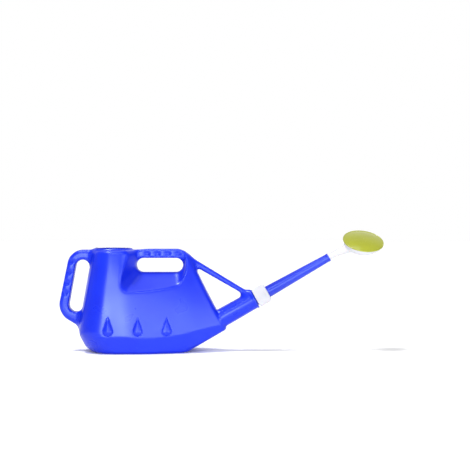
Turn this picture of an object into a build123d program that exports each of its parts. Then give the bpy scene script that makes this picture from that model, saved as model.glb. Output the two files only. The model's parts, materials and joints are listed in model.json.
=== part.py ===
from build123d import *
import os
from math import cos, radians, sin

# Blow-moulded garden watering can of about 5 litres, with a screwed-on spout pipe and a push-fit rose.
# Millimetres. +Z is up and +X runs towards the spout. The origin is on the ground, under the middle of the base.
# The can is symmetric about the plane y = 0, where its mould parts.

# The moulded body
WALL = 2.0
CAN_TOP = 226.0
BASE_HALF_WIDTH, BASE_NOSE_HALF_WIDTH = 65.0, 46.0
BELLY_HALF_WIDTH, BELLY_NOSE_HALF_WIDTH = 75.0, 24.0
TOP_HALF_WIDTH, TOP_NOSE_HALF_WIDTH = 57.0, 17.0
BELLY_HEIGHT = 46.0
REAR_BASE_X, REAR_BELLY_X, REAR_TOP_X = -113.5, -139.5, -104.5
FRONT_BASE_X, FRONT_BELLY_X, FRONT_TOP_X = 101.0, 187.0, 103.0
# Where the sides start to draw in towards the nose
BOW_START_X, TOP_BOW_START_X = 50.0, 15.0
# Corner radii of the body's level sections: rear corners, where the bow starts, and at the front
REAR_CORNER_R, BOW_R, BOW_CORNER_R = 42.0, 60.0, 4.0
# Corner radii of the side view: rear and front of the base, nose, top front, top rear, and rear belly
REAR_BASE_R, FRONT_BASE_R, NOSE_R = 18.0, 14.0, 5.0
FRONT_CORNER_R, TOWER_CORNER_R, REAR_BELLY_R = 24.0, 4.0, 60.0
# How far a cutting solid stands past what it cuts
PAST = 3.0

# Fill mouth, on the top of the rear tower
MOUTH_X, MOUTH_R = -63.0, 40.0
RIM_R, RIM_HEIGHT = 43.0, 3.5

# Rear handle: a hollow bar round a slanted finger hole
HANDLE_HALF_WIDTH = 14.0
REAR_HOLE_TOP = (-130.5, 188.0)
REAR_HOLE_BOTTOM = (-145.7, 104.0)
FINGER_HOLE_R = 16.0

# Top handle: a hollow bar over a level finger hole, with a hand recess in each side of the body under it
TOP_HOLE_X = (-10.7, 92.8)
TOP_HOLE_Z = (176.4, 207.8)
RECESS_OUTER = {"left": -50.0, "right": 101.0, "low_left": 124.0, "low_right": 137.0}
RECESS_CORNER_R = 24.0
RECESS_TOP = CAN_TOP + 20.0

# Spout axis, stub and screw neck. Places along the spout are measured from the end of the stub.
SPOUT_ANGLE = 29.6
STUB_END = (253.0, 115.5)
STUB_LENGTH = 100.0
STUB_R, STUB_END_R, STUB_BEAD_R, STUB_BEAD_LENGTH = 20.9, 19.4, 21.2, 3.0
NECK_R, NECK_BORE_R, NECK_LENGTH = 16.4, 14.0, 24.0

# Strut from the top front corner down to the stub
STRUT_HALF_WIDTH = 6.5

# Screw thread of the neck and nut, right-handed
THREAD_PITCH, THREAD_TURNS = 4.0, 3.5
THREAD_DEPTH, THREAD_ROOT, THREAD_CREST = 1.1, 2.2, 0.8
THREAD_GAP = 0.3
THREAD_START = 6.0
THREAD_BITE = 0.3

# Collar nut
NUT_START, NUT_END = 3.0, 32.6
NUT_R, NUT_RIBS, RIB_R = 20.2, 36, 0.8
NUT_END_WALL = 3.0
NUT_SHOULDER_R = 2.5

# Washer and spout pipe
FACE_GAP = 0.05
WASHER_THICKNESS, WASHER_R, WASHER_HOLE_R = 2.5, 16.2, 12.4
FLANGE_THICKNESS, FLANGE_R = 2.7, 16.3
PIPE_R, PIPE_TIP_R, PIPE_WALL = 13.4, 9.0, 1.7
PIPE_GAP = 0.3
TIP = 189.7
TIP_LIP_R, TIP_LIP_LENGTH = 9.4, 3.0

# Rose: its neck is on the spout's axis, and its bowl and face are tilted from that axis and twisted about it
ROSE_TWIST = 33.9
FACE_TILT = 59.5
FACE_ALONG, FACE_OFFSET = 85.1, -8.6
SOCKET_DEPTH, SOCKET_R = 24.0, 7.3
SPIGOT_R, SPIGOT_BORE_R = 7.0, 4.4
RING_AT, RING_R, RING_THICK_R, RING_GROOVE_FLOOR_R, RING_GROOVE_WIDTH = -10.0, 6.45, 0.78, 5.62, 2.0
ROSE_NECK_R = 6.8
ROSE_COLLAR_R, ROSE_COLLAR_LENGTH = 9.0, 2.5
ROSE_WALL = 1.8
# The neck runs straight into the bowl's side, and a skew funnel under it leads down into the bowl
NECK_END = 50.0
FUNNEL_START, FUNNEL_LEAN, FUNNEL_LENGTH, FUNNEL_R = 15.0, 10.0, 75.0, 14.0
FUNNEL_SLIP, FUNNEL_DEPTH = 0.4, 9.0
# The bowl's outline, as depth behind the face's rim, radius, and shift of the centre towards the neck
BOWL = ((1.0, 44.2, 0.0), (4.6, 43.4, 0.0), (10.0, 40.2, 1.0), (17.0, 31.5, 4.0), (22.5, 19.5, 7.0))
FACE_R, FACE_RISE, FACE_WALL = 46.0, 9.0, 1.5
SKIRT_DEPTH, SKIRT_INNER_R = 4.0, 44.6
HOLE_RINGS, HOLE_PITCH, HOLE_R = 6, 5.4, 0.6


def outline(corners):
    """A closed flat face from corners given as x, y and corner radius."""
    points = [(x, y) for x, y, _ in corners]
    return make_face(FilletPolyline(*points, radius=[r for _, _, r in corners], close=True))


def side_prism(face, half_width):
    """A face drawn in x and z, extruded both ways across the can."""
    return extrude(Plane.XZ * face, amount=half_width, both=True)


def body_section(z, rear, bow, front, half_width, front_half_width, inset):
    """A level section of the body: straight sides, round rear corners, and a bow that narrows to the front."""
    w, wf = half_width - inset, front_half_width - inset
    half = [(rear + inset, -w, REAR_CORNER_R - inset), (bow, -w, BOW_R), (front, -wf, BOW_CORNER_R)]
    return Pos(0, 0, z) * outline(half + [(x, -y, r) for x, y, r in reversed(half)])


def tank(inset):
    """The body without handles. With an inset of the wall's thickness it is the water space."""
    # The underside leans so far that its front point moves in by more than the wall's thickness.
    front_inset = inset / sin(radians(SPOUT_ANGLE))
    # The sections stand a little past the base and the top, which the silhouette then cuts.
    sections = [
        body_section(
            -PAST, REAR_BASE_X, BOW_START_X, FRONT_BASE_X - inset,
            BASE_HALF_WIDTH, BASE_NOSE_HALF_WIDTH, inset),
        body_section(
            BELLY_HEIGHT, REAR_BELLY_X, BOW_START_X, FRONT_BELLY_X - front_inset,
            BELLY_HALF_WIDTH, BELLY_NOSE_HALF_WIDTH, inset),
        body_section(
            CAN_TOP + PAST, REAR_TOP_X, TOP_BOW_START_X, FRONT_TOP_X - inset,
            TOP_HALF_WIDTH, TOP_NOSE_HALF_WIDTH, inset),
    ]
    body = loft(sections, ruled=True)
    # Round the silhouette's corners, as seen from the side.
    silhouette = outline([
        (REAR_BASE_X - 1.5, 0, REAR_BASE_R), (FRONT_BASE_X, 0, FRONT_BASE_R),
        (FRONT_BELLY_X + 1, BELLY_HEIGHT, NOSE_R), (FRONT_TOP_X, CAN_TOP, FRONT_CORNER_R),
        (REAR_TOP_X - 2, CAN_TOP, TOWER_CORNER_R), (REAR_BELLY_X - 2, BELLY_HEIGHT, REAR_BELLY_R),
    ])
    if inset:
        silhouette = offset(silhouette, amount=-inset)
    return body & side_prism(silhouette, BELLY_HALF_WIDTH + PAST)


def finger_hole(low, high, radius):
    """A round-ended hole across the can between two centres."""
    return side_prism(make_face(offset(Line(low, high), amount=radius)), BELLY_HALF_WIDTH + PAST)


def rear_hole(grow):
    return finger_hole(REAR_HOLE_BOTTOM, REAR_HOLE_TOP, FINGER_HOLE_R + grow)


def top_hole(grow):
    radius = (TOP_HOLE_Z[1] - TOP_HOLE_Z[0]) / 2
    z = sum(TOP_HOLE_Z) / 2
    return finger_hole((TOP_HOLE_X[0] + radius, z), (TOP_HOLE_X[1] - radius, z), radius + grow)


def rear_handle(inset):
    """The rear handle's plate, with its finger hole."""
    plate = outline([
        (REAR_TOP_X + 8, CAN_TOP, 0), (-158.4, CAN_TOP, 27), (-188.0, 85.0, 25),
        (-148.0, 59.0, 14), (-139.0, 40.0, 0), (REAR_TOP_X + 8, 40.0, 0),
    ])
    if inset:
        plate = offset(plate, amount=-inset)
    return side_prism(plate, HANDLE_HALF_WIDTH - inset) - rear_hole(inset)


def hand_recess(side, grow):
    """The sloped recess beside the top handle, on the side given by the sign."""
    def ring(half_width, left, right, low_left, low_right, radius):
        corners = [
            (left - grow, RECESS_TOP, 0), (left - grow, low_left - grow, radius),
            (right + grow, low_right - grow, radius), (right + grow, RECESS_TOP, 0),
        ]
        return Plane.XZ.offset(-side * half_width) * outline(corners)

    middle = (TOP_HOLE_Z[1] - TOP_HOLE_Z[0]) / 2
    inner = ring(HANDLE_HALF_WIDTH - grow, *TOP_HOLE_X, TOP_HOLE_Z[0], TOP_HOLE_Z[0], middle)
    r = RECESS_OUTER
    outer = ring(
        BELLY_HALF_WIDTH + PAST, r["left"], r["right"], r["low_left"], r["low_right"], RECESS_CORNER_R)
    return loft([inner, outer], ruled=True)


def strut():
    """The brace between the body's top front corner and the stub."""
    face = outline([
        (98.0, 213.0, 0), (103.0, 214.5, 0), (234.0, 134.0, 3), (238.0, 118.0, 0),
        (222.0, 116.0, 0), (216.5, 132.0, 4), (131.0, 182.0, 4), (118.0, 178.0, 0),
    ])
    return side_prism(face, STRUT_HALF_WIDTH)


def spout_plane():
    """Local z along the spout from the end of the stub, and local x square to it, upwards."""
    a = radians(SPOUT_ANGLE)
    return Plane(origin=(STUB_END[0], 0, STUB_END[1]), x_dir=(-sin(a), 0, cos(a)), z_dir=(cos(a), 0, sin(a)))


SPOUT = spout_plane()


def turned(profile):
    """A profile of radius and distance along the spout, turned about the spout's axis."""
    return SPOUT * revolve(Plane.XZ * make_face(Polyline(*profile, close=True)), Axis.Z)


def thread_coil(radius, outward, turns, start):
    """One helical ridge on a wall of the given radius, as a solid that bites into that wall a little."""
    height = turns * THREAD_PITCH
    path = Pos(0, 0, start) * Helix(pitch=THREAD_PITCH, height=height, radius=radius)
    sign = 1 if outward else -1
    root, crest = THREAD_ROOT / 2, THREAD_CREST / 2
    profile = Polyline(
        (-sign * THREAD_BITE, -root), (sign * THREAD_DEPTH, -crest),
        (sign * THREAD_DEPTH, crest), (-sign * THREAD_BITE, root), close=True,
    )
    section = Plane(origin=path @ 0, x_dir=(1, 0, 0), z_dir=path % 0) * make_face(profile)
    return SPOUT * sweep(section, path=path, is_frenet=True)


def can_body():
    outside = tank(0) - hand_recess(1, 0) - hand_recess(-1, 0) - top_hole(0)
    outside += rear_handle(0)
    outside -= rear_hole(0)
    outside += Pos(MOUTH_X, 0, CAN_TOP - WALL) * Cylinder(
        RIM_R, WALL + RIM_HEIGHT, align=(Align.CENTER, Align.CENTER, Align.MIN))
    outside += strut()
    outside += turned([
        (0, -STUB_LENGTH), (STUB_R, -STUB_LENGTH), (STUB_END_R, -STUB_BEAD_LENGTH),
        (STUB_BEAD_R, -STUB_BEAD_LENGTH), (STUB_BEAD_R, 0), (NECK_R, 0), (NECK_R, NECK_LENGTH), (0, NECK_LENGTH),
    ])
    water = tank(WALL) - hand_recess(1, WALL) - hand_recess(-1, WALL) - top_hole(WALL)
    water += rear_handle(WALL)
    water -= rear_hole(WALL)
    water += Pos(MOUTH_X, 0, CAN_TOP - 2 * WALL) * Cylinder(
        MOUTH_R, 4 * WALL + RIM_HEIGHT, align=(Align.CENTER, Align.CENTER, Align.MIN))
    water += turned([
        (0, -STUB_LENGTH - 6), (STUB_R - WALL, -STUB_LENGTH - 6), (STUB_END_R - WALL, -STUB_BEAD_LENGTH - 1),
        (NECK_BORE_R, -1), (NECK_BORE_R, NECK_LENGTH + 1), (0, NECK_LENGTH + 1),
    ])
    return outside - water + thread_coil(NECK_R, True, THREAD_TURNS, THREAD_START)


def collar_nut():
    inner_end = NUT_END - NUT_END_WALL
    bore = NECK_R + THREAD_DEPTH + THREAD_GAP
    shoulder = NUT_END - NUT_SHOULDER_R
    body = turned([
        (bore, NUT_START), (NUT_R, NUT_START), (NUT_R, shoulder), (NUT_R - NUT_SHOULDER_R, NUT_END),
        (PIPE_R + PIPE_GAP, NUT_END), (PIPE_R + PIPE_GAP, inner_end), (bore, inner_end),
    ])
    rib = Cylinder(RIB_R, shoulder - NUT_START, align=(Align.CENTER, Align.CENTER, Align.MIN))
    for place in PolarLocations(NUT_R, NUT_RIBS):
        body += SPOUT * Pos(0, 0, NUT_START) * place * rib
    # The nut's ridge runs midway between the turns of the neck's ridge.
    return body + thread_coil(bore, False, THREAD_TURNS - 0.5, THREAD_START + THREAD_PITCH / 2)


WASHER_START = NECK_LENGTH + FACE_GAP
FLANGE_START = WASHER_START + WASHER_THICKNESS + FACE_GAP


def spout_washer():
    end = WASHER_START + WASHER_THICKNESS
    return turned([
        (WASHER_HOLE_R, WASHER_START), (WASHER_R, WASHER_START), (WASHER_R, end), (WASHER_HOLE_R, end),
    ])


def spout_pipe():
    flange_end = FLANGE_START + FLANGE_THICKNESS
    return turned([
        (PIPE_R - PIPE_WALL, FLANGE_START), (FLANGE_R, FLANGE_START), (FLANGE_R, flange_end),
        (PIPE_R, flange_end), (PIPE_TIP_R, TIP - TIP_LIP_LENGTH), (TIP_LIP_R, TIP - TIP_LIP_LENGTH + 0.8),
        (TIP_LIP_R, TIP - 0.8), (TIP_LIP_R - 0.8, TIP), (SOCKET_R, TIP), (SOCKET_R, TIP - SOCKET_DEPTH),
    ])


def rose_location():
    """The rose's own frame: origin at the pipe's tip, z along its neck, x to the side its face looks to."""
    return SPOUT.location * Pos(0, 0, TIP) * Rot(0, 0, ROSE_TWIST)


def face_plane():
    """The plane of the face's rim in the rose's frame: z out of the face, x away from the neck."""
    b = radians(FACE_TILT)
    return Plane(origin=(FACE_OFFSET, 0, FACE_ALONG), x_dir=(-cos(b), 0, sin(b)), z_dir=(sin(b), 0, cos(b)))


def turned_neck(profile):
    """A profile of radius and distance along the rose's neck, turned about it."""
    return revolve(Plane.XZ * make_face(Polyline(*profile, close=True)), Axis.Z)


def bowl(inset):
    """The rose's bowl, or with an inset the space inside it, which is open towards the face."""
    rings = [Pos(-shift, 0, inset - depth) * Circle(radius - inset) for depth, radius, shift in BOWL]
    return face_plane() * loft(rings)


def funnel(inset):
    """The skew cone from the neck down into the bowl, or with an inset the way through it."""
    lean = Rot(0, -FUNNEL_LEAN, 0)
    cone = Pos(0, 0, FUNNEL_START) * lean * Cone(
        ROSE_NECK_R - FUNNEL_SLIP - inset, FUNNEL_R - inset, FUNNEL_LENGTH,
        align=(Align.CENTER, Align.CENTER, Align.MIN))
    # It stops inside the bowl, level with the face.
    under_face = face_plane() * Pos(0, 0, -FUNNEL_DEPTH) * Cylinder(
        2 * FACE_R, 2 * FACE_R, align=(Align.CENTER, Align.CENTER, Align.MAX))
    return cone & under_face


def rose_back():
    groove = RING_AT - RING_GROOVE_WIDTH / 2
    groove_end = RING_AT + RING_GROOVE_WIDTH / 2
    outer = turned_neck([
        (0, 2 - SOCKET_DEPTH), (SPIGOT_R, 2 - SOCKET_DEPTH), (SPIGOT_R, groove), (RING_GROOVE_FLOOR_R, groove),
        (RING_GROOVE_FLOOR_R, groove_end), (SPIGOT_R, groove_end), (SPIGOT_R, FACE_GAP),
        (ROSE_COLLAR_R, FACE_GAP), (ROSE_COLLAR_R, ROSE_COLLAR_LENGTH), (ROSE_NECK_R, ROSE_COLLAR_LENGTH),
        (ROSE_NECK_R, NECK_END), (0, NECK_END),
    ])
    inner = turned_neck([
        (0, -SOCKET_DEPTH), (SPIGOT_BORE_R, -SOCKET_DEPTH), (SPIGOT_BORE_R, 0),
        (ROSE_NECK_R - ROSE_WALL, ROSE_COLLAR_LENGTH), (ROSE_NECK_R - ROSE_WALL, NECK_END + 1), (0, NECK_END + 1),
    ])
    return rose_location() * (outer + bowl(0) + funnel(0) - inner - bowl(ROSE_WALL) - funnel(ROSE_WALL))


def rose_seal():
    ring = Pos(0, 0, RING_AT) * Torus(RING_R, RING_THICK_R)
    return rose_location() * ring


def rose_face():
    sphere_r = (FACE_R**2 + FACE_RISE**2) / (2 * FACE_RISE)
    centre = FACE_RISE - sphere_r
    dome = Pos(0, 0, centre) * (Sphere(sphere_r) - Sphere(sphere_r - FACE_WALL))
    dome &= Cylinder(FACE_R, 4 * FACE_RISE, align=(Align.CENTER, Align.CENTER, Align.MIN))
    skirt = Cylinder(FACE_R, SKIRT_DEPTH, align=(Align.CENTER, Align.CENTER, Align.MAX))
    skirt -= Cylinder(SKIRT_INNER_R, SKIRT_DEPTH, align=(Align.CENTER, Align.CENTER, Align.MAX))
    face = dome + skirt
    drill = Cylinder(HOLE_R, 4 * FACE_RISE)
    drills = [drill]
    for ring in range(1, HOLE_RINGS):
        drills += [place * drill for place in PolarLocations(ring * HOLE_PITCH, 6 * ring)]
    return rose_location() * (face_plane() * (face - drills))


PARTS = {
    "can_body": can_body,
    "collar_nut": collar_nut,
    "spout_washer": spout_washer,
    "spout_pipe": spout_pipe,
    "rose_seal": rose_seal,
    "rose_back": rose_back,
    "rose_face": rose_face,
}

os.makedirs("parts", exist_ok=True)
for name, make in PARTS.items():
    part = make()
    part.label = name
    export_step(part, f"parts/{name}.step")
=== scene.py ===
import json
from math import cos, hypot, pi, radians, sin, sqrt, tan

import bmesh
import bpy
import numpy as np
from mathutils import Matrix, Vector


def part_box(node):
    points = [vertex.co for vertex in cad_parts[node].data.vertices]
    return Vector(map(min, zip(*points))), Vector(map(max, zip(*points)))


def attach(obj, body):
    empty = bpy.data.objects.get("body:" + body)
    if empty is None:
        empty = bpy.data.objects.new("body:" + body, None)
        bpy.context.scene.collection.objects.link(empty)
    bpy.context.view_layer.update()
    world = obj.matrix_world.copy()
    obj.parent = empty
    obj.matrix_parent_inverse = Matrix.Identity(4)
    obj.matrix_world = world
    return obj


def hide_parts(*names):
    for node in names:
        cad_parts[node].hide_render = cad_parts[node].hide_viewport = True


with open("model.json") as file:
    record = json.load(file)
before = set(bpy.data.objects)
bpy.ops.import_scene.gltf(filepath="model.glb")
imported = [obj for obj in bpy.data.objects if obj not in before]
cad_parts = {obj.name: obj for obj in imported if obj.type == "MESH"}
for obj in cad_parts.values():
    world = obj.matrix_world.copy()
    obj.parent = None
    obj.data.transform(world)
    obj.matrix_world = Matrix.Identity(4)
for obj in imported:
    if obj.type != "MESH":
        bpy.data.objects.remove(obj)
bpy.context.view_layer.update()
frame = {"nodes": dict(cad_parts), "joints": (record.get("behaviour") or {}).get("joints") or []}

# A blow-moulded watering can. Forms are worked out in millimetres, in the frame's axes, and a mesh is
# turned into metres when it is made.
MM = 0.001

JOINTS = {joint["name"]: joint for joint in frame["joints"]}
PIPE_TIP = np.array(JOINTS["rose_turn"]["pos_m"]) / MM
SPOUT_DIR = np.array(JOINTS["rose_turn"]["axis"], float)
FACE_DIR = np.array(JOINTS["face_pull"]["axis"], float)
CAN_LOW, CAN_HIGH = (np.array(corner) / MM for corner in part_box("can_body"))

# Places along the spout are measured from the end of the stub, as in the CAD.
TIP = 189.7
STUB_END = PIPE_TIP - TIP * SPOUT_DIR


# ---------------------------------------------------------------- frames along the spout and the rose

def turned_matrix(origin, z_dir, x_dir):
    """Millimetres in a local frame to millimetres in the can's frame."""
    z = np.array(z_dir) / np.linalg.norm(z_dir)
    x = np.array(x_dir) - np.dot(x_dir, z) * z
    x /= np.linalg.norm(x)
    matrix = np.eye(4)
    matrix[:3, 0], matrix[:3, 1], matrix[:3, 2], matrix[:3, 3] = x, np.cross(z, x), z, origin
    return matrix


UP = np.array((0.0, 0.0, 1.0))
SPOUT = turned_matrix(STUB_END, SPOUT_DIR, UP)
ROSE = turned_matrix(PIPE_TIP, SPOUT_DIR, FACE_DIR)


# ---------------------------------------------------------------- distance fields, in millimetres

def smooth_max(a, b, radius):
    """The common part of two solids, with the edge between them rounded."""
    arc = np.hypot(np.maximum(radius + a, 0), np.maximum(radius + b, 0))
    return np.minimum(-radius, np.maximum(a, b)) + arc


def smooth_min(a, b, radius):
    """Two solids joined, with a fillet between them."""
    return -smooth_max(-a, -b, radius)


def blend(low, high, value):
    """0 below low, 1 above high, and smooth between."""
    t = np.clip((value - low) / (high - low), 0, 1)
    return t * t * (3 - 2 * t)


def side_line(x, z, start, end):
    """Distance to the right of a line drawn in the side view from start to end."""
    length = hypot(end[0] - start[0], end[1] - start[1])
    return ((x - start[0]) * (end[1] - start[1]) - (z - start[1]) * (end[0] - start[0])) / length


def capsule(x, z, start, end, radius):
    """A round-ended bar seen from the side."""
    dx, dz = end[0] - start[0], end[1] - start[1]
    t = np.clip(((x - start[0]) * dx + (z - start[1]) * dz) / (dx * dx + dz * dz), 0, 1)
    return np.hypot(x - start[0] - t * dx, z - start[1] - t * dz) - radius


def ellipsoid(x, y, z, half_sizes):
    """An ellipsoid about the origin, with a distance that is true near its surface."""
    p = [v / h for v, h in zip((x, y, z), half_sizes)]
    inner = np.sqrt(sum(q * q for q in p))
    outer = np.sqrt(sum((q / h) ** 2 for q, h in zip(p, half_sizes)))
    return inner * (inner - 1) / np.maximum(outer, 1e-6)


# Straight lines of the side view, each from one x and z to another, with the solid on the left of the line
REAR_WALL, REAR_FOOT = ((-104.5, 226), (-139.5, 46)), ((-141.5, 44), (-119.5, 0))
FRONT_WALL, FRONT_FOOT = ((162.3, 94.5), (101.8, 226)), ((188, 56), (164, 98.3))
UNDERSIDE = (101, 0), (186, 46.5)
GRIP_BACK, GRIP_FOOT = ((-163, 203.8), (-182.4, 110.6)), ((-170, 74), (-151.6, 62.7))
STRUT_TOP, STRUT_UNDER = ((233.7, 134.5), (100.8, 215.2)), ((129.1, 183.3), (217.6, 132.5))

# The body's half widths at the crease and at the ground, and the x where its sides turn in towards the front
TOP = 226.0
BELLY, BASE, CREASE_Z = 75.0, 66.0, 40.0
BOW_X, BOW_EDGE_R = 50, 30
BASE_HOLLOW = 1.5

# The handles: a hole is a slot between two points, with a radius, and the finger dents are in the sides
GRIP_HALF = 14.0
REAR_HOLE = (-145.7, 104.0), (-130.5, 188.0), 16.0
TOP_HOLE = (5.0, 192.1), (77.1, 192.1), 15.7
REAR_DENTS = ((-157.0, 200.0), (-161.5, 176.0), (-166.0, 153.0), (-169.5, 130.0))
TOP_DENTS, TOP_DENT_Z = (13.0, 36.0, 59.0, 82.0), 217.5
REAR_DENT_DEPTH, TOP_DENT_DEPTH = 2.6, 2.5

MOUTH_X, MOUTH_R, RIM_R, RIM_TOP = -63.0, 40.0, 43.0, CAN_HIGH[2]
STUB_R, STUB_TAPER, STUB_BEAD_R, STUB_BEAD, STUB_LENGTH = 19.4, 0.0155, 21.2, 3.0, 100
NECK_BORE_R = 14.0
DROP_X, DROP_Z, DROP_R, DROP_TIP_R, DROP_HEIGHT = (-67.8, -3.0, 59.7), 51.0, 9.7, 0.6, 37.0
DROP_CROWN, DROP_GROOVE = 4.1, 1.1
SEAM_HEIGHT, SEAM_HALF = 0.35, 0.4
WALL = 2.2


def tank_field(x, y, z):
    """The body without handles, strut and stub. Its sides lean in from the crease upwards and downwards."""
    rear = smooth_max(side_line(x, z, *REAR_WALL), side_line(x, z, *REAR_FOOT), 9)
    rear_r = 58 - 0.08 * (z - CREASE_Z)
    side = y - BELLY + 0.1 * (z - CREASE_Z) + 0.0003 * np.maximum(z - 120, 0) ** 2
    above = np.maximum(z - 38, 0)
    lean = (0.125 + 0.00045 * above) * above
    # How far the sides go in for each millimetre forward, and out for each millimetre up
    turn, low_turn = 0.39, 0.475
    flare, front_flare = 0.24, 0.28
    bow = (y - BELLY + turn * (x - BOW_X) + lean) / sqrt(1 + turn**2 + 0.22**2)
    low_side = (y - BASE - flare * z) / sqrt(1 + flare**2)
    low_bow = (y - BASE + low_turn * (x - BOW_X) - front_flare * z) / sqrt(1 + low_turn**2 + front_flare**2)
    upper = smooth_max(smooth_max(rear, side, rear_r), bow, BOW_EDGE_R)
    lower = smooth_max(smooth_max(rear, low_side, rear_r), low_bow, BOW_EDGE_R)
    walls = smooth_max(upper, lower, 0.8 + 5 * blend(80, 120, -x))
    front = smooth_min(side_line(x, z, *FRONT_WALL), side_line(x, z, *FRONT_FOOT), 5)
    nose = smooth_max(front, z - TOP - 2 * blend(-20, 20, x), 24)
    body = smooth_max(smooth_max(walls, nose, 9), side_line(x, z, *UNDERSIDE), 7)
    body = smooth_max(body, -z, 5.5 + 14 * blend(75, 125, -x))
    hollow = smooth_max(smooth_max(np.abs(x + 6) - 84, y - 46, 18), z - BASE_HOLLOW, 0.8)
    return smooth_max(body, -hollow, 1.2)


def recess_field(x, y, z):
    """The hand recess beside the top handle: a left wall, a floor that slopes out, and a round right end."""
    left = -(0.871 * (x + 10 - 0.12 * np.maximum(z - 170, 0)) + 0.491 * (y - 8))
    floor = (176 - (y - 8) * (0.72 + 0.0008 * (x + 24)) - z) / sqrt(1 + 0.75**2)
    right = x - 92.8 - 8.5 * (1 - np.exp(np.minimum(8 - y, 0) / 8))
    depth = 8 + 6 * blend(198, 211, z) - y
    return smooth_max(smooth_max(smooth_max(floor, right, 24), left, 16), depth, 3)


def rear_handle_field(x, y, z):
    """The rear handle's plate, which ends inside the body, at x = -95."""
    outline = smooth_max(z - TOP, side_line(x, z, *GRIP_BACK), 27)
    outline = smooth_max(outline, side_line(x, z, *GRIP_FOOT), 25)
    outline = smooth_max(outline, x + 95, 1)
    return smooth_max(outline, y - GRIP_HALF, 8)


def spout_coordinates(x, y, z):
    """Distance along the spout from the end of its stub, height square to it, and radius from its axis."""
    along = (x - STUB_END[0]) * SPOUT_DIR[0] + (z - STUB_END[2]) * SPOUT_DIR[2]
    height = (z - STUB_END[2]) * SPOUT_DIR[0] - (x - STUB_END[0]) * SPOUT_DIR[2]
    return along, height, np.hypot(height, y)


def strut_field(x, y, z):
    """The strut from the top handle down to the stub, wider at its upper end."""
    _, height, _ = spout_coordinates(x, y, z)
    bar = smooth_max(side_line(x, z, *STRUT_TOP), side_line(x, z, *STRUT_UNDER), 4)
    half = 6.0 + 0.022 * np.maximum(235 - x, 0)
    bar = smooth_max(bar, y - half, 4)
    return smooth_max(smooth_max(bar, 96 - x, 1), -height, 1)


def stub_field(x, y, z):
    """The tapered spout stub with the bead round its end."""
    along, _, radius = spout_coordinates(x, y, z)
    tube = radius - STUB_R + STUB_TAPER * along
    bead = smooth_max(np.abs(along + STUB_BEAD / 2) - STUB_BEAD / 2, radius - STUB_BEAD_R, 1.2)
    tube = smooth_max(smooth_max(tube, along, 1), -along - STUB_LENGTH, 1)
    return smooth_min(tube, bead, 0.8)


def plain_field(x, y, z, with_strut=True):
    """The outside of the moulding without its rim, finger dents and drops."""
    y = np.abs(y)
    body = tank_field(x, y, z)
    body = smooth_min(body, rear_handle_field(x, y, z), 19)
    edge = 3 + 9 * blend(165, 215, z) * blend(10, -25, x)
    body = smooth_max(body, -recess_field(x, y, z), edge)
    stub = stub_field(x, y, z)
    if with_strut:
        strut = strut_field(x, y, z)
        body = smooth_min(smooth_min(body, strut, 10), smooth_min(strut, stub, 15), 0.5)
    body = smooth_min(body, stub, 1.2)
    body = smooth_max(body, -capsule(x, z, *REAR_HOLE), 5)
    return smooth_max(body, -capsule(x, z, *TOP_HOLE), 3.5)


def drop_height(x, z, centre):
    """Height of a raised drop: a round foot drawn out to a tip, crowned, with a fine groove round it."""
    tip = DROP_HEIGHT - DROP_R
    px, pz = np.abs(x - centre), z - DROP_Z
    lean = (DROP_R - DROP_TIP_R) / tip
    side = sqrt(1 - lean * lean)
    k = -px * lean + pz * side
    across = px * side + pz * lean
    distance = np.where(
        k < 0, np.hypot(px, pz) - DROP_R,
        np.where(k > side * tip, np.hypot(px, pz - tip) - DROP_TIP_R, across - DROP_R))
    crown = DROP_CROWN * np.sqrt(np.clip(-distance / DROP_R, 0, 1))
    groove = DROP_GROOVE * np.exp(-((distance - 1.0) / 0.9) ** 2)
    return crown - groove


def dents(x, y, z):
    """Depth of the finger dents in the sides of both handles."""
    depth = 0 * x
    for cx, cz in REAR_DENTS:
        off_centre = ((x - cx) / 7.5) ** 2 + ((z - cz) / 5.0) ** 2
        depth = depth + REAR_DENT_DEPTH * np.exp(-off_centre**2)
    for cx in TOP_DENTS:
        off_centre = ((x - cx) / 6.5) ** 2 + ((z - TOP_DENT_Z) / 4.5) ** 2
        depth = depth + TOP_DENT_DEPTH * np.exp(-off_centre**2)
    return depth * blend(7, 11, y)


def plain_outside(x, y, z):
    """The outside with the mouth's rim."""
    rim = smooth_max(np.hypot(x - MOUTH_X, y) - RIM_R, z - RIM_TOP, 2.9)
    rim = smooth_max(rim, TOP - 8 - z, 1)
    return smooth_min(plain_field(x, y, z), rim, 1.6)


def outside_field(x, y, z):
    """The whole outside, with the dents, the drops and the raised line where the mould's halves met."""
    side = np.abs(y)
    body = plain_outside(x, y, z) + dents(x, side, z)
    on_wall = blend(40, 50, side) * blend(15, 25, z) * blend(110, 100, z)
    for centre in DROP_X:
        near = (np.abs(x - centre) < 2 * DROP_R) & (side > 40)
        if near.any():
            body = body - np.where(near, drop_height(x, z, centre) * on_wall, 0)
    return body - SEAM_HEIGHT * np.exp(-(y / SEAM_HALF) ** 2) * blend(0.5, 5, z)


def inside_field(x, y, z):
    """The water space, open through the mouth and the neck. It keeps off the dents and out of the strut."""
    space = plain_field(x, y, z, with_strut=False) + WALL + 1.7 * dents(x, np.abs(y), z)
    mouth = smooth_max(np.hypot(x - MOUTH_X, y) - MOUTH_R, np.abs(z - TOP + 2) - 12, 1)
    space = smooth_min(space, mouth, 1.5)
    along, _, radius = spout_coordinates(x, y, z)
    bore = smooth_max(radius - NECK_BORE_R, -along - 12, 3)
    return smooth_min(space, smooth_max(bore, along - 40, 1), 2)


# ---------------------------------------------------------------- meshes

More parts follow.
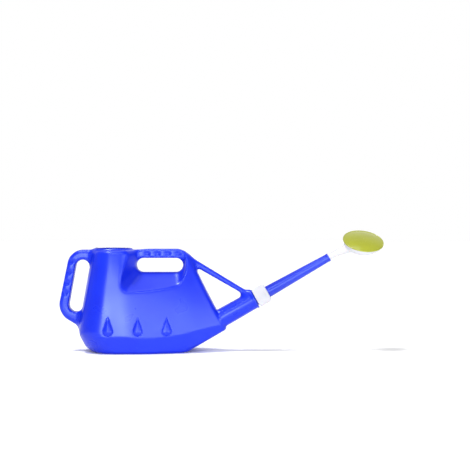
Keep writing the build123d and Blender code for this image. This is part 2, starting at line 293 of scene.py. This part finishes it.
def surface_net(field, grid):
    """A closed quad mesh of field = 0 on a grid, given as its x, y and z levels.

    Each grid cell that the surface passes through gets one point, the mean of where the surface crosses the
    cell's edges, and each crossed edge gets one quad, between the points of the four cells around it.
    """
    values = field(*np.meshgrid(*grid, indexing="ij"))
    shape = [n - 1 for n in values.shape]
    total, count = np.zeros(shape + [3]), np.zeros(shape)
    crossings = []
    for axis in range(3):
        low = [slice(None)] * 3
        high = [slice(None)] * 3
        low[axis], high[axis] = slice(None, -1), slice(1, None)
        a, b = values[tuple(low)], values[tuple(high)]
        crosses = (a < 0) != (b < 0)
        t = np.where(crosses, a / np.where(crosses, a - b, 1), 0)
        view = [1, 1, 1]
        view[axis] = -1
        where = grid[axis][:-1].reshape(view) + t * np.diff(grid[axis]).reshape(view)
        others = [k for k in range(3) if k != axis]
        for i in (0, 1):
            for j in (0, 1):
                cut = [slice(None)] * 3
                cut[others[0]] = slice(i, i + shape[others[0]])
                cut[others[1]] = slice(j, j + shape[others[1]])
                cut = tuple(cut)
                hit = crosses[cut]
                count += hit
                total[..., axis] += np.where(hit, where[cut], 0)
                for k, offset in zip(others, (i, j)):
                    view = [1, 1, 1]
                    view[k] = -1
                    line = grid[k][offset:offset + shape[k]].reshape(view)
                    total[..., k] += hit * line
        crossings.append((axis, others, crosses, a < 0))
    active = count > 0
    number = np.full(shape, -1)
    number[active] = np.arange(active.sum())
    points = total[active] / count[active][:, None]
    quads = []
    for axis, others, crosses, inside in crossings:
        inner = [slice(None)] * 3
        for k in others:
            inner[k] = slice(1, -1)
        inner = tuple(inner)
        at = np.argwhere(crosses[inner])
        at[:, others[0]] += 1
        at[:, others[1]] += 1
        corners = []
        for i, j in ((1, 1), (0, 1), (0, 0), (1, 0)):
            cell = at.copy()
            cell[:, others[0]] -= i
            cell[:, others[1]] -= j
            corners.append(number[tuple(cell.T)])
        quad = np.stack(corners, 1)
        flip = inside[tuple(at.T)] ^ (axis == 1)
        quad[~flip] = quad[~flip][:, ::-1]
        quads.append(quad)
    return points, np.concatenate(quads)


def slope(field, points, step=0.05):
    """The field's gradient at points."""
    result = np.empty_like(points)
    for k in range(3):
        nudge = np.zeros(3)
        nudge[k] = step
        result[:, k] = (field(*(points + nudge).T) - field(*(points - nudge).T)) / (2 * step)
    return result


def settle(field, points, rounds=4, furthest=1.0):
    """Moves points on to the surface field = 0, along its gradient."""
    for _ in range(rounds):
        g = slope(field, points)
        move = -field(*points.T)[:, None] * g / np.maximum((g * g).sum(1), 0.05)[:, None]
        size = np.linalg.norm(move, axis=1)[:, None]
        points = points + move * np.minimum(1, furthest / np.maximum(size, 1e-9))
    return points


def new_object(name, points, faces, matrix=None):
    """A smooth mesh object from millimetre points in a local frame."""
    points = np.asarray(points, float)
    if matrix is not None:
        points = points @ matrix[:3, :3].T + matrix[:3, 3]
    mesh = bpy.data.meshes.new(name)
    mesh.from_pydata((points * MM).tolist(), [], [list(map(int, f)) for f in faces])
    mesh.validate()
    mesh.shade_smooth()
    piece = bpy.data.objects.new(name, mesh)
    bpy.context.scene.collection.objects.link(piece)
    return piece


def apply_modifiers(piece):
    """Bakes a piece's modifiers into its mesh."""
    depsgraph = bpy.context.evaluated_depsgraph_get()
    mesh = bpy.data.meshes.new_from_object(piece.evaluated_get(depsgraph), depsgraph=depsgraph)
    piece.modifiers.clear()
    piece.data = mesh


def combine(piece, other, operation):
    """Joins a closed mesh with another, or cuts it, and drops the other."""
    modifier = piece.modifiers.new("combine", "BOOLEAN")
    modifier.operation, modifier.solver, modifier.object = operation, "MANIFOLD", other
    apply_modifiers(piece)
    bpy.data.objects.remove(other)


def sharpen(piece, degrees):
    """Smooth shading, apart from edges that turn by more than an angle."""
    piece.data.shade_smooth()
    piece.data.set_sharp_from_angle(angle=radians(degrees))


def rounded(corners, steps=5):
    """A closed outline of x, y and corner radius, with its corners turned into arcs."""
    points = []
    for k, (x, y, radius) in enumerate(corners):
        here = np.array((x, y))
        before = np.array(corners[k - 1][:2]) - here
        after = np.array(corners[(k + 1) % len(corners)][:2]) - here
        u, v = before / np.linalg.norm(before), after / np.linalg.norm(after)
        half = np.arccos(np.clip(u @ v, -1, 1)) / 2
        if radius == 0 or half > 1.55:
            points.append(here)
            continue
        centre = here + (u + v) / np.linalg.norm(u + v) * radius / sin(half)
        start, end = here + u * radius / tan(half) - centre, here + v * radius / tan(half) - centre
        for t in np.linspace(0, 1, steps + 1):
            arm = (1 - t) * start + t * end
            points.append(centre + arm / np.linalg.norm(arm) * radius)
    return np.array(points)


def subdivided(points, longest):
    """A closed outline with no step longer than a length."""
    result = []
    for here, there in zip(points, np.roll(points, -1, axis=0)):
        count = max(1, int(np.ceil(np.linalg.norm(there - here) / longest)))
        result += [here + (there - here) * k / count for k in range(count)]
    return np.array(result)


def fix_normals(piece):
    """Turns a closed mesh's faces outwards."""
    mesh = bmesh.new()
    mesh.from_mesh(piece.data)
    if mesh.calc_volume(signed=True) < 0:
        bmesh.ops.reverse_faces(mesh, faces=mesh.faces)
    mesh.to_mesh(piece.data)
    mesh.free()


def lathe(name, outline, segments, matrix, radius_at=None):
    """A closed outline of radius and height turned about z. radius_at(radius, height, angle) may shape it."""
    angles = np.arange(segments) * 2 * pi / segments
    radius, angle = np.meshgrid(outline[:, 0], angles)
    height = np.broadcast_to(outline[:, 1], radius.shape)
    if radius_at:
        radius = radius_at(radius, height, angle)
    points = np.stack((radius * np.cos(angle), radius * np.sin(angle), height), -1).reshape(-1, 3)
    n = len(outline)
    i, j = np.meshgrid(np.arange(segments), np.arange(n), indexing="ij")
    i_next, j_next = (i + 1) % segments, (j + 1) % n
    faces = np.stack((i * n + j, i_next * n + j, i_next * n + j_next, i * n + j_next), -1).reshape(-1, 4)
    piece = new_object(name, points, faces, matrix)
    fix_normals(piece)
    return piece


# ---------------------------------------------------------------- the can

def levels(low, high, step):
    """Levels a step apart, from low until they reach high."""
    count = int(np.ceil((high - low) / step))
    return low + step * np.arange(count + 1)


def seam_levels(half, step, seam=0.6):
    """Levels across the can that put three close rows of points on its parting line."""
    out = 1.5 * seam + levels(0, half, step)
    return np.concatenate((-out[::-1], (-seam / 2, seam / 2), out))


def refine(piece, wanted, rounds):
    """Cuts the faces whose centre is wanted in four, for a number of rounds."""
    for _ in range(rounds):
        mesh = bmesh.new()
        mesh.from_mesh(piece.data)
        centres = np.array([f.calc_center_median() for f in mesh.faces]) / MM
        chosen = wanted(*centres.T)
        edges = {e for f, yes in zip(mesh.faces, chosen) if yes for e in f.edges}
        edges = sorted(edges, key=lambda e: e.index)
        bmesh.ops.subdivide_edges(mesh, edges=edges, cuts=1, use_grid_fill=True)
        mesh.to_mesh(piece.data)
        mesh.free()


def mesh_points(piece):
    """A mesh's points in millimetres."""
    points = np.empty(len(piece.data.vertices) * 3)
    piece.data.vertices.foreach_get("co", points)
    return points.reshape(-1, 3) / MM


def set_points(piece, points):
    piece.data.vertices.foreach_set("co", (points * MM).ravel())
    piece.data.update()


def near_drop(x, y, z):
    """Whether points are on a raised drop or within a few millimetres of one."""
    in_height = (z > DROP_Z - DROP_R - 3) & (z < DROP_Z + DROP_HEIGHT - DROP_R + 4) & (np.abs(y) > 40)
    return in_height & (np.min([np.abs(x - c) for c in DROP_X], axis=0) < DROP_R + 3)


THREAD_PITCH, THREAD_TURNS, THREAD_DEPTH, THREAD_START = 4.0, 3.5, 1.1, 6.0
NECK_R, NECK_LENGTH, NECK_RELIEF = 16.4, 24.0, 1.1


def ridge(height, angle, start, turns):
    """Height of a right-handed screw ridge, from 0 to 1, fading at both ends."""
    turn = (height - start) / THREAD_PITCH - angle / (2 * pi)
    offset = np.abs(turn - np.round(turn)) * THREAD_PITCH
    along = np.round(turn) + angle / (2 * pi)
    run = blend(-0.02, 0.12, along) * blend(turns + 0.02, turns - 0.12, along)
    return blend(1.25, 0.35, offset) * run


def neck():
    """The threaded neck as a thick tube with a small hole, until the water space cuts its bore."""
    root = -6
    side = [(NECK_R, t) for t in levels(root, NECK_LENGTH - 0.6, 0.45)]
    outline = np.array(side + [(NECK_R - 0.6, NECK_LENGTH), (1.0, NECK_LENGTH), (1.0, root)])

    def radius_at(radius, height, angle):
        on_side = (radius >= NECK_R) & (height > 0)
        thread = THREAD_DEPTH * ridge(height, angle, THREAD_START, THREAD_TURNS)
        return radius + np.where(on_side, thread - NECK_RELIEF * blend(4.9, 4.3, height), 0)

    return lathe("neck", outline, 144, SPOUT, radius_at)


def can():
    """The whole moulding: its outside, with the neck added and the water space cut out."""
    low, high = CAN_LOW - 6, CAN_HIGH + 6
    high[0] = STUB_END[0] + 15
    # The grid is finer near the ground, where the body's edge is tight.
    step = 2.7
    heights = np.concatenate((levels(-2.5, 3.0, 0.8), levels(4.6, high[2], step)))
    grid = levels(low[0], high[0], step), seam_levels(high[1], step), heights
    points, faces = surface_net(plain_outside, grid)
    piece = new_object("can_shell", settle(plain_outside, points), faces)
    refine(piece, near_drop, 2)
    set_points(piece, settle(outside_field, mesh_points(piece), rounds=6))
    fix_normals(piece)
    combine(piece, neck(), "UNION")
    # The water space reaches further, along the neck's bore and up through the mouth.
    high += np.array((40, 0, 8))
    inside_step = 4.4
    grid = [levels(a, b, inside_step) for a, b in zip(low, high)]
    points, faces = surface_net(inside_field, grid)
    space = new_object("space", settle(inside_field, points), faces)
    fix_normals(space)
    combine(piece, space, "DIFFERENCE")
    sharpen(piece, 50)
    return piece


# ---------------------------------------------------------------- nut, pipe and rose

NUT_START, NUT_END, NUT_R, NUT_BORE = 3.0, 32.6, 20.2, 17.8
NUT_RIBS, NUT_RIB, NUT_END_WALL = 48, 1.1, 3.0
PIPE_R, PIPE_TIP_R, PIPE_WALL = 13.4, 9.0, 1.7
FLANGE_START, FLANGE_END, FLANGE_R = 26.6, 29.3, 16.3
SOCKET_DEPTH, SOCKET_R = 24.0, 7.3


def nut():
    """The ribbed nut, with its thread and the end wall that holds the pipe's flange."""
    opening = PIPE_R + 0.3
    outline = rounded([
        (NUT_BORE, NUT_START, 0.4), (NUT_R, NUT_START, 0.7), (NUT_R, NUT_END, 3.2), (opening, NUT_END, 0.5),
        (opening, NUT_END - NUT_END_WALL, 0), (NUT_BORE, NUT_END - NUT_END_WALL, 0),
    ], steps=6)
    outline = subdivided(outline, 0.5)

    def radius_at(radius, height, angle):
        wave = 0.5 + 0.5 * np.cos(NUT_RIBS * angle)
        rib = NUT_RIB * wave**0.6 * blend(NUT_END - 1.2, NUT_END - 3.6, height) * (radius > NUT_R - 0.6)
        in_thread = (height < NUT_END - NUT_END_WALL - 0.2) & (height > NUT_START + 1)
        inside = (radius < NUT_BORE + 0.05) & in_thread
        thread = ridge(height, angle, THREAD_START + THREAD_PITCH / 2, THREAD_TURNS - 0.5)
        return radius + rib - 0.9 * THREAD_DEPTH * np.where(inside, thread, 0)

    piece = lathe("nut_ribbed", outline, NUT_RIBS * 8, SPOUT, radius_at)
    sharpen(piece, 42)
    return piece


def pipe():
    """The tapered pipe, from the flange in the nut to the socket in its tip."""
    wall_foot = PIPE_R - PIPE_WALL
    outline = rounded([
        (wall_foot, FLANGE_START, 0.3), (FLANGE_R, FLANGE_START, 0.4), (FLANGE_R, FLANGE_END, 0.4),
        (PIPE_R, FLANGE_END, 0.8), (PIPE_TIP_R, TIP - 4.2, 0.6), (PIPE_TIP_R + 0.5, TIP - 3.2, 0.5),
        (PIPE_TIP_R + 0.5, TIP, 0.9), (SOCKET_R, TIP, 0.5), (SOCKET_R, TIP - SOCKET_DEPTH, 1.0),
    ], steps=6)
    piece = lathe("spout_tube", subdivided(outline, 6.0), 160, SPOUT)
    sharpen(piece, 40)
    return piece


ROSE_ALONG, ROSE_OFFSET = 85.1, -8.6
ROSE_ACROSS = ROSE[:3, 0]
FACE = turned_matrix(PIPE_TIP + ROSE_ALONG * SPOUT_DIR + ROSE_OFFSET * ROSE_ACROSS, FACE_DIR, SPOUT_DIR)
FACE_IN_ROSE = np.linalg.inv(ROSE) @ FACE
BOWL_R, BOWL_DEPTH, BOWL_FLAT, BOWL_SHIFT = 44.2, 25.2, 22.5, 7.0
ROSE_WALL = 1.8
SPIGOT_R, SPIGOT_BORE_R, ROSE_NECK_R = 7.0, 4.4, 6.8
RING_AT, RING_GROOVE_R = -10.0, 5.62


def to_face(x, y, z):
    """Rose coordinates to the face's: z out of the face, x away from the neck."""
    back = np.linalg.inv(FACE_IN_ROSE)
    return (back[k, 0] * x + back[k, 1] * y + back[k, 2] * z + back[k, 3] for k in range(3))


def rose_field(x, y, z, inset=0.0):
    """The rose's back in its own frame, or with an inset the space inside it."""
    fx, fy, fz = to_face(x, y, z)
    shift = BOWL_SHIFT * (np.clip(-fz, 0, None) / BOWL_FLAT) ** 2.5
    bowl = ellipsoid(fx + shift, fy, fz, (BOWL_R - inset, BOWL_R - inset, BOWL_DEPTH - inset))
    bowl = smooth_max(bowl, -fz - BOWL_FLAT + inset, 3)
    lean = radians(10)
    along = (z - 15) * cos(lean) - x * sin(lean)
    across = x * cos(lean) + (z - 15) * sin(lean)
    funnel = (np.hypot(across, y) - (6.4 + 0.1013 * along) + inset) * 0.99
    funnel = smooth_max(smooth_max(funnel, -along + 6, 1), fz + 9, 1)
    straight = smooth_max(np.hypot(x, y) - ROSE_NECK_R + inset, z - 50, 1)
    body = smooth_min(smooth_min(funnel, straight, 2), bowl, 4 + inset)
    body = smooth_max(body, -z + 3, 0.6)
    return smooth_max(body, fz + (1 - 3 * inset / ROSE_WALL), 0.5)


def spigot():
    """The rose's push-in end, with the groove for its sealing ring and the collar that meets the pipe."""
    groove, groove_end = RING_AT - 1, RING_AT + 1
    outline = rounded([
        (1.0, 2 - SOCKET_DEPTH, 0), (SPIGOT_R, 2 - SOCKET_DEPTH, 0.8), (SPIGOT_R, groove, 0.2),
        (RING_GROOVE_R, groove, 0.2), (RING_GROOVE_R, groove_end, 0.2), (SPIGOT_R, groove_end, 0.2),
        (SPIGOT_R, 0.05, 0), (9.0, 0.05, 0.5), (9.0, 2.6, 0.8), (ROSE_NECK_R, 2.6, 0.8), (ROSE_NECK_R, 8, 0),
        (1.0, 8, 0),
    ], steps=4)
    return lathe("spigot", outline, 96, ROSE)


def bore():
    """The water's way through the spigot into the rose."""
    outline = np.array([
        (0.05, -SOCKET_DEPTH), (SPIGOT_BORE_R, -SOCKET_DEPTH), (SPIGOT_BORE_R, 0),
        (5.0, 3), (5.0, 20), (0.05, 20),
    ])
    return lathe("bore", outline, 64, ROSE)


def rose_body(name, inset, step):
    """The mesh of the rose's back, or with an inset of the space inside it."""
    def field(x, y, z):
        return rose_field(x, y, z, inset)

    grid = [levels(a, b, step) for a, b in ((-56, 20), (-50, 50), (1.0, 126.0))]
    points, faces = surface_net(field, grid)
    piece = new_object(name, settle(field, points), faces, ROSE)
    fix_normals(piece)
    return piece


def rose_bowl():
    """The rose's hollow back with its neck."""
    piece = rose_body("rose_bowl", 0.0, 1.3)
    combine(piece, spigot(), "UNION")
    combine(piece, rose_body("space", ROSE_WALL, 1.9), "DIFFERENCE")
    combine(piece, bore(), "DIFFERENCE")
    sharpen(piece, 50)
    return piece


DOME_R, DOME_RISE, DOME_WALL, DOME_RIM = 46.0, 6.4, 1.5, 43.6
SKIRT_DEPTH, SKIRT_INNER_R = 1.4, 44.6
HOLE_RINGS, HOLE_PITCH, DRILL_R = 6, 5.4, 0.6


def dome():
    """The rose's face: a shallow dome with a rolled rim, a skirt round the bowl, and rings of fine holes."""
    ball = (DOME_R**2 + DOME_RISE**2) / (2 * DOME_RISE)
    centre = DOME_RISE - ball
    outer = [(r, centre + sqrt(ball**2 - r * r)) for r in np.linspace(DOME_RIM, 0.02, 40)]
    inner_rim = DOME_RIM - 1.2
    inner = [(r, centre + sqrt((ball - DOME_WALL) ** 2 - r * r)) for r in np.linspace(0.02, inner_rim, 30)]
    steps = 6
    skirt = rounded([
        (SKIRT_INNER_R, -SKIRT_DEPTH, 0.3), (DOME_R, -SKIRT_DEPTH, 0.6), (DOME_R, 1.3, 1.4),
        (DOME_RIM + 0.7, 1.3, 0.8), (DOME_RIM, 0.4, 0), (SKIRT_INNER_R, -1.0, 0),
    ], steps)
    # Four corners are round, with steps + 1 points each. The fourth leads down from the rolled rim to the
    # dome, which takes over from its last two points.
    rolled = skirt[:4 * (steps + 1) - 2]
    outline = np.array([*rolled, *outer, *inner, (SKIRT_INNER_R - 0.4, -0.9)])
    piece = lathe("rose_dome", outline, 192, FACE)
    drills = bmesh.new()
    for ring in range(HOLE_RINGS):
        count = max(1, 6 * ring)
        for k in range(count):
            angle = 2 * pi * k / count
            place = Matrix.Translation((ring * HOLE_PITCH * cos(angle), ring * HOLE_PITCH * sin(angle), 5))
            bmesh.ops.create_cone(
                drills, cap_ends=True, segments=16, radius1=DRILL_R, radius2=DRILL_R, depth=16, matrix=place)
    points = np.array([v.co for v in drills.verts])
    faces = [[v.index for v in f.verts] for f in drills.faces]
    combine(piece, new_object("drills", points, faces, FACE), "DIFFERENCE")
    drills.free()
    sharpen(piece, 40)
    return piece


# ---------------------------------------------------------------- materials

class Shader:
    """A material's node tree, built by small calls."""

    def __init__(self, name, **settings):
        self.material = bpy.data.materials.new(name)
        self.material.use_nodes = True
        self.nodes, self.links = self.material.node_tree.nodes, self.material.node_tree.links
        self.surface = self.nodes["Principled BSDF"]
        for socket, value in settings.items():
            self.surface.inputs[socket.replace("_", " ")].default_value = value
        self.place = self.nodes.new("ShaderNodeTexCoord").outputs["Object"]

    def link(self, source, socket):
        self.links.new(source, socket)

    def noise(self, scale, detail=2.0, roughness=0.5, stretch=None):
        node = self.nodes.new("ShaderNodeTexNoise")
        node.inputs["Scale"].default_value = scale
        node.inputs["Detail"].default_value = detail
        node.inputs["Roughness"].default_value = roughness
        self.link(self.stretched(stretch) if stretch else self.place, node.inputs["Vector"])
        return node.outputs["Fac"]

    def stretched(self, stretch):
        """Object coordinates scaled by three factors after a turn about y, in degrees."""
        turn, factors = stretch
        node = self.nodes.new("ShaderNodeMapping")
        node.vector_type = "TEXTURE"
        node.inputs["Rotation"].default_value = (0, radians(turn), 0)
        node.inputs["Scale"].default_value = [1 / f for f in factors]
        self.link(self.place, node.inputs["Vector"])
        return node.outputs["Vector"]

    def span(self, source, low, high, to_low, to_high):
        """A value carried from one range to another, smoothly, and held at its ends."""
        node = self.nodes.new("ShaderNodeMapRange")
        node.interpolation_type = "SMOOTHSTEP"
        sockets = "From Min", "From Max", "To Min", "To Max"
        for socket, value in zip(sockets, (low, high, to_low, to_high)):
            node.inputs[socket].default_value = value
        self.link(source, node.inputs["Value"])
        return node.outputs["Result"]

    def math(self, operation, a, b):
        node = self.nodes.new("ShaderNodeMath")
        node.operation = operation
        for socket, value in zip(node.inputs, (a, b)):
            if isinstance(value, (int, float)):
                socket.default_value = value
            else:
                self.link(value, socket)
        return node.outputs["Value"]

    def mix(self, factor, a, b):
        node = self.nodes.new("ShaderNodeMix")
        node.data_type = "RGBA"
        self.link(factor, node.inputs["Factor"])
        for socket, value in zip((node.inputs[6], node.inputs[7]), (a, b)):
            if isinstance(value, tuple):
                socket.default_value = (*value, 1)
            else:
                self.link(value, socket)
        return node.outputs[2]

    def edges(self):
        """1 on worn convex edges, 0 elsewhere."""
        geometry = self.nodes.new("ShaderNodeNewGeometry")
        return self.span(geometry.outputs["Pointiness"], 0.52, 0.60, 0.0, 1.0)

    def colour(self, source):
        self.link(source, self.surface.inputs["Base Color"])

    def roughness(self, source):
        self.link(source, self.surface.inputs["Roughness"])

    def bump(self, *layers):
        """Bumps of (source, strength, depth in millimetres), one on the other."""
        below = None
        for source, strength, depth in layers:
            node = self.nodes.new("ShaderNodeBump")
            node.inputs["Strength"].default_value = strength
            node.inputs["Distance"].default_value = depth * MM
            self.link(source, node.inputs["Height"])
            if below:
                self.link(below, node.inputs["Normal"])
            below = node.outputs["Normal"]
        self.link(below, self.surface.inputs["Normal"])


def moulded(name, main, light, dark, rough, grain, settings):
    """A moulded plastic: clouds of slightly darker pigment, a grain, faint scuffs, and paler worn edges."""
    shader = Shader(name, **settings)
    clouds = shader.span(shader.noise(9, detail=3, roughness=0.6), 0.35, 0.65, 0.0, 1.0)
    body = shader.mix(clouds, dark, main)
    streaks = shader.noise(60, detail=6, roughness=0.7, stretch=(20, (1, 1, 5)))
    scuffs = shader.span(streaks, 0.60, 0.74, 0.0, 1.0)
    patchy = shader.span(shader.noise(130, detail=4), 0.42, 0.62, 0.15, 0.8)
    worn = shader.math("MULTIPLY", shader.edges(), patchy)
    marks = shader.math("MAXIMUM", shader.math("MULTIPLY", scuffs, 0.06), shader.math("MULTIPLY", worn, 0.5))
    shader.colour(shader.mix(marks, body, light))
    patches = shader.span(shader.noise(13, detail=3, roughness=0.5), 0.3, 0.7, rough - 0.02, rough + 0.03)
    shader.roughness(shader.math("ADD", patches, shader.math("MULTIPLY", scuffs, 0.05)))
    scale, strength = grain
    shader.bump(
        (shader.noise(30, detail=1), 0.16, 0.25), (shader.noise(scale, detail=3), strength, 0.05),
        (shader.noise(2600, detail=2), 0.05, 0.02))
    return shader.material


# Glare on both blue plastics is faintly blue.
BLUE_GLARE = (0.74, 0.98, 1.0, 1.0)


def blue_plastic():
    """Blow-moulded polyethylene with a soft, waxy gloss."""
    return moulded(
        "blue_plastic", main=(0.003, 0.018, 0.54), light=(0.09, 0.16, 0.68), dark=(0.003, 0.014, 0.49),
        rough=0.29, grain=(900, 0.16),
        settings={"IOR": 1.50, "Specular_IOR_Level": 0.42, "Specular_Tint": BLUE_GLARE})


def blue_pipe_plastic():
    """Injection-moulded polyethylene, glossier and a little darker than the can."""
    return moulded(
        "blue_pipe_plastic", main=(0.003, 0.015, 0.48), light=(0.09, 0.15, 0.64), dark=(0.003, 0.012, 0.43),
        rough=0.15, grain=(1100, 0.10),
        settings={"IOR": 1.50, "Specular_IOR_Level": 0.65, "Specular_Tint": BLUE_GLARE})


def white_plastic():
    """Satin white polypropylene, faintly blue."""
    return moulded(
        "white_plastic", main=(0.52, 0.525, 0.555), light=(0.66, 0.66, 0.70), dark=(0.475, 0.48, 0.52),
        rough=0.42, grain=(1400, 0.12),
        settings={"IOR": 1.49, "Subsurface_Weight": 0.15, "Subsurface_Scale": 0.002})


def olive_plastic():
    """Hard glossy olive plastic."""
    return moulded(
        "olive_plastic", main=(0.27, 0.29, 0.018), light=(0.46, 0.50, 0.13), dark=(0.24, 0.26, 0.015),
        rough=0.16, grain=(700, 0.05),
        settings={"IOR": 1.52, "Coat_Weight": 0.25, "Coat_Roughness": 0.08})


def black_rubber():
    """Dull rubber with a fine bloom."""
    shader = Shader("black_rubber")
    bloom = shader.span(shader.noise(240, detail=5, roughness=0.7), 0.45, 0.7, 0.0, 1.0)
    shader.colour(shader.mix(bloom, (0.012, 0.012, 0.013), (0.04, 0.04, 0.042)))
    shader.roughness(shader.span(bloom, 0, 1, 0.55, 0.8))
    shader.bump((shader.noise(1800, detail=3), 0.3, 0.03))
    return shader.material


def floor_material():
    """Plain pale paper."""
    shader = Shader("floor", Roughness=0.9)
    tone = shader.span(shader.noise(1.5, detail=2), 0.3, 0.7, 0.0, 1.0)
    shader.colour(shader.mix(tone, (0.95, 0.95, 0.96), (0.97, 0.97, 0.98)))
    return shader.material


def dress(piece, material):
    """Gives a piece its only material."""
    piece.data.materials.clear()
    piece.data.materials.append(material)
    return piece


def dress_cad(node, material):
    """A CAD node keeps its mesh and gets a material in its slots."""
    if not node.material_slots:
        node.data.materials.append(material)
    for slot in node.material_slots:
        slot.material = material


# ---------------------------------------------------------------- the assembly

def assemble():
    """Makes each piece, gives it its material, and sets it on its body in place of its CAD node."""
    blue, pipe_blue, white, olive = blue_plastic(), blue_pipe_plastic(), white_plastic(), olive_plastic()
    for make, material, body, node, slot in (
        (can, blue, "can", "can_body", "blue_plastic"),
        (nut, white, "nut", "collar_nut", "white_plastic"),
        (pipe, pipe_blue, "pipe", "spout_pipe", "blue_pipe_plastic"),
        (rose_bowl, white, "rose", "rose_back", "white_plastic"),
        (dome, olive, "rose_cap", "rose_face", "olive_plastic"),
    ):
        piece = dress(make(), material)
        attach(piece, body)
        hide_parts(node)
    rubber = black_rubber()
    for node in ("spout_washer", "rose_seal"):
        dress_cad(frame["nodes"][node], rubber)


# ---------------------------------------------------------------- floor, light and camera

def look_at(piece, place, target):
    """Puts a lamp or camera in the scene at a place, facing a target, in metres."""
    piece.location = place
    piece.rotation_euler = (Vector(target) - Vector(place)).to_track_quat("-Z", "Y").to_euler()
    bpy.context.scene.collection.objects.link(piece)


def softbox(name, place, target, size, power):
    """A rectangular lamp that the camera doesn't see: width and height in metres, power in watts."""
    light = bpy.data.lights.new(name, "AREA")
    light.shape, light.size, light.size_y = "RECTANGLE", *size
    light.energy = power
    piece = bpy.data.objects.new(name, light)
    piece.visible_camera = False
    look_at(piece, place, target)


def lay_floor():
    """A plain round floor of nine metres' radius."""
    radius, corners = 9000.0, 64
    ring = [(radius * cos(a), radius * sin(a), 0) for a in np.arange(corners) * 2 * pi / corners]
    floor = dress(new_object("floor", ring, [range(corners)]), floor_material())


def lamps():
    """A high sun for the floor's shadows, and softboxes: two low ones are mirrored in the can's side."""
    sun = bpy.data.lights.new("sun", "SUN")
    sun.energy, sun.angle = 2.2, radians(12)
    look_at(bpy.data.objects.new("sun", sun), (-0.55, -0.15, 2.0), (0, 0, 0))
    softbox("glare", (-0.36, -2.7, 0.39), (-0.05, 0, 0.12), (0.60, 0.66), 27)
    softbox("fill", (1.60, -2.80, 0.38), (0.1, 0, 0.12), (3.0, 0.66), 48)
    softbox("strip", (0.0, -1.7, 1.55), (0.05, 0, 0.15), (1.6, 0.22), 15)
    softbox("top", (0.1, -0.1, 2.4), (0.1, 0, 0), (1.4, 0.9), 6)


def room():
    """A room that is white to the camera, and for light and mirroring dim in front and bright behind."""
    world = bpy.data.worlds.new("studio")
    world.use_nodes = True
    bpy.context.scene.world = world
    nodes, links = world.node_tree.nodes, world.node_tree.links
    background = nodes["Background"]
    background.inputs["Color"].default_value = (1, 1, 1, 1)
    path = nodes.new("ShaderNodeLightPath")
    strength = nodes.new("ShaderNodeMapRange")
    strength.inputs["To Max"].default_value = 1.0
    links.new(path.outputs["Is Camera Ray"], strength.inputs["Value"])
    direction = nodes.new("ShaderNodeSeparateXYZ")
    links.new(nodes.new("ShaderNodeTexCoord").outputs["Generated"], direction.inputs["Vector"])
    behind = nodes.new("ShaderNodeMapRange")
    behind.inputs["From Min"].default_value = 0.3
    behind.inputs["To Min"].default_value = 0.38
    behind.inputs["To Max"].default_value = 1.2
    links.new(direction.outputs["Y"], behind.inputs["Value"])
    links.new(behind.outputs["Result"], strength.inputs["To Min"])
    links.new(strength.outputs["Result"], background.inputs["Strength"])


def camera():
    """A long lens that looks straight at the can's side, and about one degree down."""
    lens = bpy.data.cameras.new("camera")
    lens.lens, lens.sensor_width = 82.4, 36.0
    piece = bpy.data.objects.new("camera", lens)
    look_at(piece, (0.208, -2.4, 0.31), (0.2085, 0, 0.2587))
    bpy.context.scene.camera = piece
    bpy.context.scene.view_settings.view_transform = "Standard"


camera()
lay_floor()
lamps()
room()
assemble()
